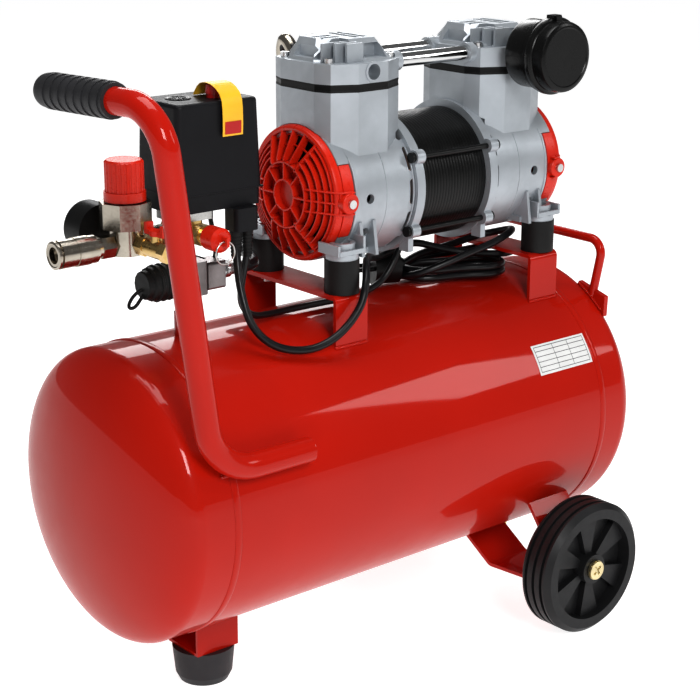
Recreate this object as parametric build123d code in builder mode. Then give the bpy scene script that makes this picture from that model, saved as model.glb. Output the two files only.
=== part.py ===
from build123d import *
import os
from math import cos, pi, sin, sqrt, tan, radians

# Portable twin-head oil-free air compressor on a 50 litre horizontal tank.
# Millimetres. +X runs along the tank towards the wheels, +Y across it, +Z up.
# The origin is on the floor, under the middle of the whole machine.
# "near" is the -Y side, "front" the end with the handle, "rear" the end with the wheels.

os.makedirs("parts", exist_ok=True)

# --- Tank ---
TANK_R = 150
TANK_Z = 229
TANK_HALF = 287                     # middle of the tank to each dome's tangent line
DOME_DEPTH = 52
SHELL_T = 2.5
SEAMS_X = (-251, 256)
BUNG_X = -200                       # outlet bung, on top of the tank
BUNG_TOP = 402
DRAIN_X = 248
HALF_LENGTH = 352                   # middle of the machine to its rear end plug

# --- Feet, wheels and handles ---
FOOT_X = -189
FOOT_H = 38
WHEEL_X = 204
WHEEL_R = 75
WHEEL_W = 43
WHEEL_INNER_Y = 150
AXLE_R = 6
HANDLE_R = 12.5
GRIP_R = 17
FLANK_Y = 150                       # push handle's tube runs in this plane
CARRY_X = 300
CARRY_R = 5

# --- Pump ---
PUMP_X = 96
PUMP_Z = 503
MOUNT_X = {-1: -52, 1: 232}         # the pump's feet, at its front and rear
MOUNT_Y = 62
MOUNT_R = 18
STRAP_TOP = 410
STRAP_HALF = 78
STRAP_W = 42
STRAP_T = 4
MOUNT_TOP = 445
PAD_T = 6                           # thickness of the pump's feet
STATOR_R = 68
STATOR_HALF = 47
CASE_R = 71
CASE_T = 6
CASE_END = 156
WEB_D = 68                          # bearing web's inner face, from the pump's middle
SHAFT_R = 7.5
BEARING_R = 17.5
CRANK_THROW = 6
JOURNAL_R = 15
CYLINDER_D = 103
BORE_R = 31.75
LINER_R = 34.75
PISTON_R = 25
COVER_R = 70.5                      # fan cover's skirt, sleeved over the crankcase's lip
COVER_START = 138
COVER_RIM = 157
COVER_END = 174
LIP_R = 66
LIP_BORE = 60
ROD_LENGTH = 92                     # crank pin's centre to the piston's crown
DECK_Z = 609
LINER_Z = 578.5                     # lower end of the cylinder liners
BAND_T = 8                          # valve plate between its two gaskets
HEAD_Z = DECK_Z + BAND_T
SLAB_T = 20
HEAD_TOP = 658
PIPE_Y = 30
PIPE_Z = 632
PIPE_R = 7.5
PORT_Z = 628
PORT_R = 8                          # side ports of the heads

# --- Air line, from the bung up to the pressure switch ---
LINE_X = -200
CHECK_Z = 437
CROSS_Z = 485
REG_X = -268
REG_Z = 482
GAUGE_Z = 488
VALVE_X = -262
VALVE_Z = 483
GAUGE_Y = 64
GAUGE_R = 26
SWITCH_X = (-228, -127)
SWITCH_Y = (-31, 41)
SWITCH_Z = (507, 612)
GLAND = (-153, -29)
GLAND_Z = 484

# --- Cables ---
CORD_R = 4
LEAD_R = 3.5


# --- Planes: a sketch's two directions are (y, z), (x, z) and (x, y) ---
def x_face(x):
    return Plane(origin=(x, 0, 0), x_dir=(0, 1, 0), z_dir=(1, 0, 0))


def y_face(y):
    return Plane(origin=(0, y, 0), x_dir=(1, 0, 0), z_dir=(0, -1, 0))


def z_face(z):
    return Plane.XY.offset(z)


# --- Shapes standing on a plane, added to the part being built ---
def bar(plane, centre, radius, length, mode=Mode.ADD):
    with BuildSketch(plane) as disc:
        with Locations(centre):
            Circle(radius)
    extrude(disc.sketch, amount=length, mode=mode)


def block(plane, centre, width, height, length, mode=Mode.ADD, corner=0):
    with BuildSketch(plane) as patch:
        with Locations(centre):
            if corner:
                RectangleRounded(width, height, corner)
            else:
                Rectangle(width, height)
    extrude(patch.sketch, amount=length, mode=mode)


def hexagon(plane, centre, across_flats, length, mode=Mode.ADD, sides=6):
    with BuildSketch(plane) as nut:
        with Locations(centre):
            RegularPolygon(across_flats / 2, sides, major_radius=False)
    extrude(nut.sketch, amount=length, mode=mode)


def prism(plane, points, length, mode=Mode.ADD):
    with BuildSketch(plane) as outline:
        with BuildLine():
            Polyline(*points, close=True)
        make_face()
    extrude(outline.sketch, amount=length, mode=mode)


def turned(points, axis, plane, mode=Mode.ADD):
    with BuildSketch(plane) as profile:
        with BuildLine():
            Polyline(*points, close=True)
        make_face()
    revolve(profile.sketch, axis=axis, mode=mode)


def save(piece, name):
    piece.part.label = name
    export_step(piece.part, f"parts/{name}.step")


# --- Tank: rolled shell with two pressed domes and its welded bungs ---
TANK_AXIS = Axis((0, 0, TANK_Z), (1, 0, 0))


def tank_solid(radius, depth):
    with BuildPart() as solid:
        with BuildSketch(y_face(0)):
            with BuildLine():
                Line((0, TANK_Z + radius), (TANK_HALF, TANK_Z + radius))
                EllipticalCenterArc((TANK_HALF, TANK_Z), depth, radius, start_angle=0, arc_size=90)
                Polyline((TANK_HALF + depth, TANK_Z), (0, TANK_Z), (0, TANK_Z + radius))
            make_face()
        revolve(axis=TANK_AXIS)
        mirror(about=Plane.YZ)
    return solid.part


tank_outside = tank_solid(TANK_R, DOME_DEPTH)
tank_inside = tank_solid(TANK_R - SHELL_T, DOME_DEPTH - SHELL_T)
DOME_END = TANK_HALF + DOME_DEPTH

with BuildPart() as tank_shell:
    add(tank_outside)
    for seam_x in SEAMS_X:
        with BuildSketch(y_face(0)) as bead:
            with Locations((seam_x, TANK_Z + TANK_R)):
                Ellipse(4, 1.2)
        revolve(bead.sketch, axis=TANK_AXIS)
    bar(z_face(TANK_Z + TANK_R - 4), (BUNG_X, 0), 13, BUNG_TOP - TANK_Z - TANK_R + 4)
    bar(z_face(66), (DRAIN_X, 0), 11, 20)
    bar(x_face(DOME_END - 10), (0, TANK_Z), 20, 15)
    hexagon(x_face(DOME_END + 5), (0, TANK_Z), 27, HALF_LENGTH - DOME_END - 5)
    add(tank_inside, mode=Mode.SUBTRACT)
    bar(z_face(TANK_Z + TANK_R - 6), (BUNG_X, 0), 8.5, 40, Mode.SUBTRACT)
    bar(z_face(60), (DRAIN_X, 0), 6, 30, Mode.SUBTRACT)
save(tank_shell, "tank_shell")


# --- Pump brackets: inverted U straps welded to the tank ---
def pump_bracket(middle_x, mount_x):
    inner = STRAP_HALF - STRAP_T
    with BuildPart() as strap:
        with BuildSketch(x_face(middle_x - STRAP_W / 2)) as outline:
            with Locations((0, STRAP_TOP - 35)):
                Rectangle(2 * STRAP_HALF, 70)
            fillet(outline.vertices().group_by(Axis.Z)[-1], 7)
            with Locations((0, STRAP_TOP - STRAP_T - 35)):
                Rectangle(2 * inner, 70, mode=Mode.SUBTRACT)
        extrude(amount=STRAP_W)
        for y in (-MOUNT_Y, MOUNT_Y):
            bar(z_face(STRAP_TOP - 10), (mount_x, y), 4.2, 20, Mode.SUBTRACT)
        add(tank_outside, mode=Mode.SUBTRACT)
    return strap


pump_bracket_front = pump_bracket(-52, MOUNT_X[-1])
save(pump_bracket_front, "pump_bracket_front")
pump_bracket_rear = pump_bracket(227, MOUNT_X[1])
save(pump_bracket_rear, "pump_bracket_rear")

# --- Foot: a channel under the front of the tank, with a rubber buffer below it ---
CHANNEL_L = 52
CHANNEL_HALF = 26
CHANNEL_T = 3
with BuildPart() as foot_bracket:
    block(z_face(FOOT_H), (FOOT_X, 0), CHANNEL_L, 2 * CHANNEL_HALF, 60)
    inner_w = 2 * (CHANNEL_HALF - CHANNEL_T)
    block(z_face(FOOT_H + CHANNEL_T), (FOOT_X, 0), CHANNEL_L, inner_w, 60, Mode.SUBTRACT)
    bar(z_face(FOOT_H), (FOOT_X, 0), 4.2, 10, Mode.SUBTRACT)
    add(tank_outside, mode=Mode.SUBTRACT)
save(foot_bracket, "foot_bracket")

with BuildPart() as rubber_foot:
    with BuildSketch(z_face(0)):
        with Locations((FOOT_X, 0)):
            Circle(26)
    with BuildSketch(z_face(8)):
        with Locations((FOOT_X, 0)):
            Circle(30)
    with BuildSketch(z_face(FOOT_H)):
        with Locations((FOOT_X, 0)):
            Circle(33)
    loft(ruled=True)
    bar(z_face(0), (FOOT_X, 0), 10, 12, Mode.SUBTRACT)
    bar(z_face(12), (FOOT_X, 0), 4.2, 30, Mode.SUBTRACT)
save(rubber_foot, "rubber_foot")

# --- Wheel bracket: one wide strip bent under the tank, carrying both axle bolts ---
STRIP_W = 60
STRIP_T = 4
LEG_Y = WHEEL_INNER_Y - STRIP_T / 2 - 1
HALF_STRIP = [(-112, 146), (-LEG_Y, 100), (-LEG_Y, 50), (-60, 44)]
with BuildPart() as wheel_bracket:
    with BuildSketch(x_face(WHEEL_X - STRIP_W / 2)):
        with BuildLine():
            mirrored = [(-y, z) for y, z in reversed(HALF_STRIP)]
            FilletPolyline(*HALF_STRIP, (0, 82), *mirrored, radius=12)
        trace(line_width=STRIP_T)
    extrude(amount=STRIP_W)
    bar(y_face(LEG_Y + 20), (WHEEL_X, WHEEL_R), AXLE_R + 0.2, 2 * LEG_Y + 40, Mode.SUBTRACT)
    add(tank_outside, mode=Mode.SUBTRACT)
save(wheel_bracket, "wheel_bracket")

# --- Axle bolts: shoulder bolts through the wheels, each with its nut ---
with BuildPart() as axle_bolts:
    for side in (-1, 1):
        outer = WHEEL_INNER_Y + WHEEL_W
        bar(y_face(side * (outer + 1)), (WHEEL_X, WHEEL_R), AXLE_R, side * (outer - LEG_Y + 15))
        bar(y_face(side * (outer + 3.4)), (WHEEL_X, WHEEL_R), 11, side * 2.8)
        hexagon(y_face(side * (LEG_Y - 2.1)), (WHEEL_X, WHEEL_R), 19, side * 9)
save(axle_bolts, "axle_bolts")


# --- Wheels: moulded wheel with a grooved tread, a recessed web and six wide spokes ---
SPOKE = [(-23, -4), (23, -15), (23, 15), (-23, 4)]


def wheel(side):
    hub = Axis((WHEEL_X, 0, WHEEL_R), (0, 1, 0))
    inner = side * WHEEL_INNER_Y
    outer = side * (WHEEL_INNER_Y + WHEEL_W)
    middle = (inner + outer) / 2
    with BuildPart() as moulding:
        tread = [
            (inner, WHEEL_R + 58), (inner, WHEEL_R + 69), (inner + side * 6, 2 * WHEEL_R),
            (outer - side * 6, 2 * WHEEL_R), (outer, WHEEL_R + 69), (outer, WHEEL_R + 58),
        ]
        turned(tread, hub, x_face(WHEEL_X))
        for groove in (-11, 0, 11):
            slot = [
                (middle + groove - 2, 2 * WHEEL_R - 3), (middle + groove + 2, 2 * WHEEL_R - 3),
                (middle + groove + 2, 2 * WHEEL_R + 3), (middle + groove - 2, 2 * WHEEL_R + 3),
            ]
            turned(slot, hub, x_face(WHEEL_X), Mode.SUBTRACT)
        bar(y_face(middle + 5), (WHEEL_X, WHEEL_R), 60, 10)
        bar(y_face(max(inner, outer)), (WHEEL_X, WHEEL_R), 17, WHEEL_W)
        with BuildSketch(y_face(middle + 13)) as ribs:
            with Locations((WHEEL_X, WHEEL_R)):
                with PolarLocations(38, 6, start_angle=34):
                    Polygon(*SPOKE, align=None)
        extrude(ribs.sketch, amount=26)
        bar(y_face(300), (WHEEL_X, WHEEL_R), AXLE_R + 0.06, 600, Mode.SUBTRACT)
    return moulding


wheel_near = wheel(-1)
save(wheel_near, "wheel_near")
wheel_far = wheel(1)
save(wheel_far, "wheel_far")

# --- Push handle: one bent tube lying along the near flank, with a ribbed grip ---
HANDLE_Z = TANK_Z + sqrt((TANK_R + HANDLE_R) ** 2 - FLANK_Y**2)
GRIP_START = (-327, -FLANK_Y, 636)
GRIP_END = (-335, 21, 632)
HANDLE_ROUTE = [(-167, -FLANK_Y, HANDLE_Z), (-279, -FLANK_Y, HANDLE_Z), GRIP_START, GRIP_END]
with BuildPart() as push_handle:
    with BuildLine() as handle_line:
        FilletPolyline(*HANDLE_ROUTE, radius=[56, 42])
    with BuildSketch(Plane(origin=handle_line.line @ 0, z_dir=handle_line.line % 0)):
        Circle(HANDLE_R)
        Circle(HANDLE_R - 2, mode=Mode.SUBTRACT)
    sweep()
save(push_handle, "push_handle")

GRIP_DIR = (Vector(*GRIP_END) - Vector(*GRIP_START)).normalized()
GRIP_TIP = Vector(*GRIP_END) + GRIP_DIR * 6
GRIP_L = 113
with BuildPart() as handle_grip:
    grip_plane = Plane(origin=GRIP_TIP, z_dir=-GRIP_DIR)
    bar(grip_plane, (0, 0), GRIP_R - 1, GRIP_L)
    fillet(handle_grip.edges().sort_by(Axis.Y)[-1], 12)
    for rib in range(8):
        with BuildSketch(grip_plane.offset(18 + 12 * rib)) as ring:
            Circle(GRIP_R)
        extrude(ring.sketch, amount=6)
    bar(grip_plane.offset(6), (0, 0), HANDLE_R, GRIP_L, Mode.SUBTRACT)
save(handle_grip, "handle_grip")

# --- Carry handle: a bent rod over the rear dome, on two welded gussets ---
CARRY_ROUTE = [(-86, 347), (-100, 416), (100, 416), (86, 347)]
with BuildPart() as carry_handle:
    with BuildLine() as rod_line:
        FilletPolyline(*[(CARRY_X, y, z) for y, z in CARRY_ROUTE], radius=16)
    with BuildSketch(Plane(origin=rod_line.line @ 0, z_dir=rod_line.line % 0)):
        Circle(CARRY_R)
    sweep()
    for side in (-1, 1):
        gusset = [(side * 66, 360), (side * 68, 364), (side * 108, 353), (side * 107, 330), (side * 80, 340)]
        prism(x_face(CARRY_X - 3), gusset, 6)
    add(tank_outside, mode=Mode.SUBTRACT)
save(carry_handle, "carry_handle")

# --- Drain valve under the tank ---
with BuildPart() as drain_valve_body:
    bar(z_face(58), (DRAIN_X, 0), 5.95, 24)
    hexagon(z_face(50), (DRAIN_X, 0), 17, 15.9)
    bar(z_face(50), (DRAIN_X, 0), 3.05, 40, Mode.SUBTRACT)
save(drain_valve_body, "drain_valve_body")

with BuildPart() as drain_valve_tap:
    bar(z_face(38), (DRAIN_X, 0), 3, 22)
    bar(z_face(40), (DRAIN_X, 0), 6, 9.5)
    block(z_face(38), (DRAIN_X, 0), 26, 4, 8)
save(drain_valve_tap, "drain_valve_tap")

# --- Rubber mounts under the pump, with their bolts ---
MOUNTS = [(mount_x, sy * MOUNT_Y) for mount_x in MOUNT_X.values() for sy in (-1, 1)]
with BuildPart() as rubber_mounts:
    for centre in MOUNTS:
        bar(z_face(STRAP_TOP), centre, MOUNT_R, MOUNT_TOP - STRAP_TOP)
        bar(z_face(STRAP_TOP), centre, 4.2, 60, Mode.SUBTRACT)
save(rubber_mounts, "rubber_mounts")

SEAT_Z = MOUNT_TOP + PAD_T
with BuildPart() as m8_bolts:
    for centre in MOUNTS:
        bar(z_face(STRAP_TOP - 14), centre, 4, SEAT_Z - STRAP_TOP + 14)
        hexagon(z_face(SEAT_Z), centre, 13, 5)
        hexagon(z_face(STRAP_TOP - STRAP_T - 6.5), centre, 13, 6.5)
    bar(z_face(6), (FOOT_X, 0), 4, 50)
    hexagon(z_face(6), (FOOT_X, 0), 13, 6)
    hexagon(z_face(FOOT_H + CHANNEL_T), (FOOT_X, 0), 13, 6.5)
save(m8_bolts, "m8_bolts")

# --- Pump castings ---
# Half outline of a cylinder column, in quarter symmetry: (x, y) from its centre.
COLUMN = [(52, 27), (45, 44), (19.5, 57)]


def column_outline(scale=1.0):
    quarter = [(x * scale, y * scale) for x, y in COLUMN]
    upper = quarter + [(-x, y) for x, y in reversed(quarter)]
    return upper + [(-x, -y) for x, y in upper]


def shifted(points, x):
    return [(px + x, py) for px, py in points]


SCREWS = [(sx * 40, sy * 35) for sx in (-1, 1) for sy in (-1, 1)]
EARS_D = 149
FEET_R = 15
BOLT_RING = 76.5                    # radius of the through bolts' circle
BOLT_ANGLES = (27, 153, 215, 325)


def bolt_spot(angle):
    turn = radians(angle)
    return (BOLT_RING * cos(turn), PUMP_Z + BOLT_RING * sin(turn))


CUP_R = 13.5                        # cup round each foot's bolt
CUP_H = 17


def crankcase(side):
    centre_x = PUMP_X + side * CYLINDER_D
    at = lambda d: x_face(PUMP_X + side * d)
    with BuildPart() as case:
        prism(z_face(PUMP_Z), shifted(column_outline(), centre_x), DECK_Z - PUMP_Z)
        feet = [(MOUNT_X[side], sy * MOUNT_Y) for sy in (-1, 1)]
        pad_start = PUMP_X + side * 107
        for sy, foot in zip((-1, 1), feet):
            with BuildSketch(z_face(MOUNT_TOP)) as pad:
                with Locations(foot):
                    Circle(FEET_R + 2)
                with Locations(((foot[0] + pad_start) / 2, foot[1] - sy * 14)):
                    Rectangle(abs(foot[0] - pad_start), 28)
            extrude(pad.sketch, amount=PAD_T)
            rib = [(sy * 40, MOUNT_TOP), (sy * 74, MOUNT_TOP), (sy * 69, 480), (sy * 40, 480)]
            bar(z_face(MOUNT_TOP), foot, CUP_R, CUP_H)
            for rib_d in (109, 127):
                prism(at(rib_d), rib, side * 4)
        bar(at(COVER_START - 0.3), (0, PUMP_Z), COVER_R + 0.3, side * 60, Mode.SUBTRACT)
        bar(at(STATOR_HALF), (0, PUMP_Z), CASE_R + 5, side * 11)
        bar(at(STATOR_HALF + 5), (0, PUMP_Z), CASE_R, side * (COVER_START - 0.3 - STATOR_HALF - 5))
        bar(at(COVER_START - 1), (0, PUMP_Z), LIP_R, side * (CASE_END - COVER_START + 1))
        for foot in feet:
            bolt_hole = z_face(MOUNT_TOP - 5)
            bar(bolt_hole, foot, 4.2, 20, Mode.SUBTRACT)
            bar(bolt_hole.offset(5 + PAD_T), foot, 8.6, 14, Mode.SUBTRACT)
        for sy in (-1, 1):
            tab = [(sy * 46, 436), (sy * 60, 436), (sy * 60, 470), (sy * 46, 470)]
            prism(at(STATOR_HALF + 2), tab, side * 7)
        for angle in BOLT_ANGLES:
            bar(at(STATOR_HALF), bolt_spot(angle), 7.5, side * 11)
            bar(at(STATOR_HALF - 1), bolt_spot(angle), 3.05, side * 14, Mode.SUBTRACT)
        bar(at(STATOR_HALF), (0, PUMP_Z), STATOR_R + 0.1, side * 5, Mode.SUBTRACT)
        bar(at(STATOR_HALF), (0, PUMP_Z), CASE_R - CASE_T, side * (WEB_D - STATOR_HALF), Mode.SUBTRACT)
        bar(at(WEB_D + 7), (0, PUMP_Z), CASE_R - CASE_T, side * (COVER_START - 4 - WEB_D - 7), Mode.SUBTRACT)
        bar(at(WEB_D + 7), (0, PUMP_Z), LIP_BORE, side * 90, Mode.SUBTRACT)
        bar(at(WEB_D - 2), (0, PUMP_Z), 24, side * 12)
        bar(at(0), (0, PUMP_Z), BEARING_R, side * 150, Mode.SUBTRACT)
        bar(z_face(PUMP_Z), (centre_x, 0), LINER_R, 140, Mode.SUBTRACT)
        for x, y in SCREWS:
            bar(z_face(DECK_Z - 12), (centre_x + x, y), 2.6, 20, Mode.SUBTRACT)
        for step in range(-2, 3):
            angle = radians(180 + 28 * step)
            for turn in (angle, pi - angle):
                vent = Plane(
                    origin=(PUMP_X + side * 61, 75 * cos(turn), PUMP_Z + 75 * sin(turn)),
                    x_dir=(1, 0, 0),
                    z_dir=(0, cos(turn), sin(turn)),
                )
                with BuildSketch(vent) as slot:
                    SlotOverall(26, 6, rotation=90)
                extrude(slot.sketch, amount=-14, mode=Mode.SUBTRACT)
        for z in (PUMP_Z, PUMP_Z - 36):
            bar(y_face(90), (PUMP_X + side * 118, z), 5, 180, Mode.SUBTRACT)
        for sy in (-1, 1):
            bar(y_face(sy * 90), (PUMP_X + side * EARS_D, PUMP_Z), 2.6, sy * 40, Mode.SUBTRACT)
    return case


crankcase_front = crankcase(-1)
save(crankcase_front, "crankcase_front")
crankcase_rear = crankcase(1)
save(crankcase_rear, "crankcase_rear")

# --- Motor: laminated stator, windings, rotor, shaft and bearings ---
with BuildPart() as stator_stack:
    stator_end = x_face(PUMP_X - STATOR_HALF - 4.9)
    bar(stator_end, (0, PUMP_Z), STATOR_R, 2 * STATOR_HALF + 9.8)
    bar(stator_end, (0, PUMP_Z), 35, 2 * STATOR_HALF + 9.8, Mode.SUBTRACT)
save(stator_stack, "stator_stack")

with BuildPart() as stator_windings:
    for side in (-1, 1):
        end = x_face(PUMP_X + side * (STATOR_HALF + 4.9))
        bar(end, (0, PUMP_Z), 62, side * 9)
        bar(end, (0, PUMP_Z), 38, side * 9, Mode.SUBTRACT)
save(stator_windings, "stator_windings")

with BuildPart() as rotor_core:
    bar(x_face(PUMP_X - 45), (0, PUMP_Z), 34.4, 90)
    bar(x_face(PUMP_X - 45), (0, PUMP_Z), SHAFT_R, 90, Mode.SUBTRACT)
save(rotor_core, "rotor_core")

SHAFT_END = 141
PIN_RISE = {-1: CRANK_THROW, 1: -CRANK_THROW}
with BuildPart() as crankshaft:
    bar(x_face(PUMP_X - SHAFT_END), (0, PUMP_Z), SHAFT_R, 2 * SHAFT_END)
    for side in (-1, 1):
        journal = x_face(PUMP_X + side * (CYLINDER_D - 8))
        bar(journal, (0, PUMP_Z + PIN_RISE[side]), JOURNAL_R, side * 16)
        weight = [(-26, PUMP_Z - 3), (26, PUMP_Z - 3), (20, PUMP_Z - 30), (-20, PUMP_Z - 30)]
        if side > 0:
            weight = [(y, 2 * PUMP_Z - z) for y, z in weight]
        prism(x_face(PUMP_X + side * (CYLINDER_D - 17)), weight, side * 7)
save(crankshaft, "crankshaft")

with BuildPart() as shaft_bearings:
    for side in (-1, 1):
        race = x_face(PUMP_X + side * (WEB_D - 1))
        bar(race, (0, PUMP_Z), BEARING_R, side * 11)
        bar(race, (0, PUMP_Z), SHAFT_R + 0.05, side * 11, Mode.SUBTRACT)
save(shaft_bearings, "shaft_bearings")

with BuildPart() as through_bolts:
    for angle in BOLT_ANGLES:
        spot = bolt_spot(angle)
        bar(x_face(PUMP_X - STATOR_HALF - 11), spot, 3, 2 * STATOR_HALF + 22)
        for side in (-1, 1):
            bar(x_face(PUMP_X + side * (STATOR_HALF + 11)), spot, 5.4, side * 4)
save(through_bolts, "through_bolts")


# --- Connecting rods: each carries its wobble piston rigidly ---
def connecting_rod(side):
    pin_z = PUMP_Z + PIN_RISE[side]
    x = PUMP_X + side * CYLINDER_D
    crown = pin_z + ROD_LENGTH
    with BuildPart() as rod:
        bar(x_face(x - 6), (0, pin_z), 22, 12)
        block(z_face(pin_z + 15), (x, 0), 9, 18, crown - pin_z - 20)
        bar(z_face(crown - 11), (x, 0), PISTON_R, 11)
        bar(x_face(x - 6), (0, pin_z), JOURNAL_R + 0.05, 12, Mode.SUBTRACT)
    return rod


connecting_rod_front = connecting_rod(-1)
save(connecting_rod_front, "connecting_rod_front")
connecting_rod_rear = connecting_rod(1)
save(connecting_rod_rear, "connecting_rod_rear")

# --- Cylinders, valve plates, gaskets and heads ---
CYLINDERS_X = [PUMP_X - CYLINDER_D, PUMP_X + CYLINDER_D]
with BuildPart() as cylinder_liners:
    for x in CYLINDERS_X:
        bar(z_face(LINER_Z), (x, 0), LINER_R, DECK_Z - LINER_Z)
        bar(z_face(LINER_Z), (x, 0), BORE_R, DECK_Z - LINER_Z, Mode.SUBTRACT)
save(cylinder_liners, "cylinder_liners")

with BuildPart() as valve_plates:
    for x in CYLINDERS_X:
        prism(z_face(DECK_Z + 2), shifted(column_outline(0.995), x), BAND_T - 4)
        for sx, sy in SCREWS:
            bar(z_face(DECK_Z), (x + sx, sy), 2.6, 10, Mode.SUBTRACT)
        for port in (-14, 14):
            bar(z_face(DECK_Z), (x + port, 0), 5, 10, Mode.SUBTRACT)
save(valve_plates, "valve_plates")

with BuildPart() as head_gaskets:
    for x in CYLINDERS_X:
        for z in (DECK_Z, HEAD_Z - 2):
            prism(z_face(z), shifted(column_outline(), x), 2)
        bar(z_face(DECK_Z), (x, 0), 33, BAND_T, Mode.SUBTRACT)
        for sx, sy in SCREWS:
            bar(z_face(DECK_Z), (x + sx, sy), 2.6, 10, Mode.SUBTRACT)
save(head_gaskets, "head_gaskets")


# The head's dome, from its centre: the foot on the slab, and the top.
DOME_FOOT = [(-45, -17), (-10, -45), (34, -45), (45, -22), (45, 22), (34, 45), (-30, 45), (-45, 23)]
DOME_TOP = [(-29, -2), (-8, -26), (26, -27), (31, -12), (31, 12), (26, 27), (-22, 30), (-29, 25)]


def cylinder_head(x, pipe_side):
    slab_top = HEAD_Z + SLAB_T
    with BuildPart() as head:
        prism(z_face(HEAD_Z), shifted(column_outline(), x), SLAB_T)
        for level, outline in ((slab_top, DOME_FOOT), (HEAD_TOP, DOME_TOP)):
            with BuildSketch(z_face(level)):
                with BuildLine():
                    Polyline(*shifted(outline, x), close=True)
                make_face()
        loft(ruled=True)
        block(z_face(slab_top + 2), (x - 34, -37), 52, 46, 60, Mode.SUBTRACT)
        for fin_start, fin_y in ((-42, -26), (-33, -35), (-25, -44)):
            fin_middle = (x + fin_start / 2 - 2, fin_y)
            block(z_face(slab_top), fin_middle, -4 - fin_start, 3, HEAD_TOP - slab_top - 2)
        for slot_y in (-4, 9):
            block(z_face(slab_top + 8), (x - 14, slot_y), 24, 7, 60, Mode.SUBTRACT)
        for slot_x in (10, 20):
            block(z_face(slab_top + 8), (x + slot_x, 20), 6, 80, 60, Mode.SUBTRACT)
        block(y_face(-24), (x + 13, slab_top + 9), 32, 14, 40, Mode.SUBTRACT)
        block(x_face(x - 34), (3, slab_top + 9.5), 30, 13, -40, Mode.SUBTRACT)
        for sy in (-1, 1):
            bar(x_face(x + pipe_side * 30), (sy * PIPE_Y, PIPE_Z), 10.5, pipe_side * 25)
            pipe_socket = x_face(x + pipe_side * 50)
            bar(pipe_socket, (sy * PIPE_Y, PIPE_Z), PIPE_R + 0.05, pipe_side * 9, Mode.SUBTRACT)
            bar(y_face(sy * 30), (x, PORT_Z), 10.5, -sy * 28)
            bar(y_face(sy * 40), (x, PORT_Z), PORT_R, -sy * 30, Mode.SUBTRACT)
        bar(z_face(HEAD_Z), (x, 0), 28, 6, Mode.SUBTRACT)
        for sx, sy in SCREWS:
            bar(z_face(HEAD_Z - 1), (x + sx, sy), 2.6, SLAB_T + 2, Mode.SUBTRACT)
            bar(z_face(slab_top), (x + sx, sy), 6, 40, Mode.SUBTRACT)
    return head


cylinder_head_front = cylinder_head(CYLINDERS_X[0], 1)
save(cylinder_head_front, "cylinder_head_front")
cylinder_head_rear = cylinder_head(CYLINDERS_X[1], -1)
save(cylinder_head_rear, "cylinder_head_rear")

with BuildPart() as m5_screws:
    for x in CYLINDERS_X:
        for sx, sy in SCREWS:
            bar(z_face(DECK_Z - 10), (x + sx, sy), 2.5, HEAD_Z + SLAB_T - DECK_Z + 10)
            bar(z_face(HEAD_Z + SLAB_T), (x + sx, sy), 4.5, 5)
            hexagon(z_face(HEAD_Z + SLAB_T + 2), (x + sx, sy), 4, 5, Mode.SUBTRACT)
    for side in (-1, 1):
        for sy in (-1, 1):
            ear = (PUMP_X + side * EARS_D, PUMP_Z)
            bar(y_face(sy * 81), ear, 4.5, sy * 3)
            bar(y_face(sy * 81), ear, 2.5, sy * 19)
save(m5_screws, "m5_screws")

with BuildPart() as transfer_pipes:
    reach = CYLINDER_D - 51
    for y in (-PIPE_Y, PIPE_Y):
        bar(x_face(PUMP_X - reach), (y, PIPE_Z), PIPE_R, 2 * reach)
        bar(x_face(PUMP_X - reach), (y, PIPE_Z), PIPE_R - 1.2, 2 * reach, Mode.SUBTRACT)
save(transfer_pipes, "transfer_pipes")

# --- Cooling fans and their slotted covers ---
def fan_cover(side):
    at = lambda d: x_face(PUMP_X + side * d)
    shell = [
        (COVER_START, LIP_R + 0.3), (COVER_START, COVER_R),
        (COVER_RIM, COVER_R), (COVER_RIM + 3, COVER_R - 3),
        (COVER_END, 38), (COVER_END, 0), (COVER_END - 3, 0), (COVER_END - 3, 36.8), (COVER_RIM, LIP_R + 0.3),
    ]
    with BuildPart() as cover:
        profile = [(PUMP_X + side * d, PUMP_Z + radius) for d, radius in shell]
        turned(profile, Axis((0, 0, PUMP_Z), (1, 0, 0)), y_face(0))
        with BuildSketch(at(COVER_START + 12)) as grille:
            with Locations((0, PUMP_Z)):
                for inner_r in (59, 52.5, 46, 39.5):
                    Circle(inner_r + 4.5)
                    Circle(inner_r, mode=Mode.SUBTRACT)
                with PolarLocations(51, 12):
                    Rectangle(30, 3.5, mode=Mode.SUBTRACT)
        extrude(grille.sketch, amount=side * 40, mode=Mode.SUBTRACT)
        for sy in (-1, 1):
            block(at(EARS_D - 9), (sy * 72.5, PUMP_Z), 11, 22, side * 17)
        bar(at(100), (0, PUMP_Z), LIP_R + 0.3, side * (COVER_RIM - 100), Mode.SUBTRACT)
        for sy in (-1, 1):
            bar(y_face(sy * 90), (PUMP_X + side * EARS_D, PUMP_Z), 2.6, sy * 40, Mode.SUBTRACT)
    return cover


fan_cover_front = fan_cover(-1)
save(fan_cover_front, "fan_cover_front")
fan_cover_rear = fan_cover(1)
save(fan_cover_rear, "fan_cover_rear")

with BuildPart() as cooling_fans:
    for side in (-1, 1):
        hub = x_face(PUMP_X + side * 124)
        bar(hub, (0, PUMP_Z), 16, side * 16)
        bar(hub, (0, PUMP_Z), 57, side * 2)
        with BuildSketch(hub) as blades:
            with Locations((0, PUMP_Z)):
                with PolarLocations(36, 9):
                    Rectangle(42, 2.5)
        extrude(blades.sketch, amount=side * 15)
        bar(hub, (0, PUMP_Z), SHAFT_R, side * 20, Mode.SUBTRACT)
save(cooling_fans, "cooling_fans")

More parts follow.
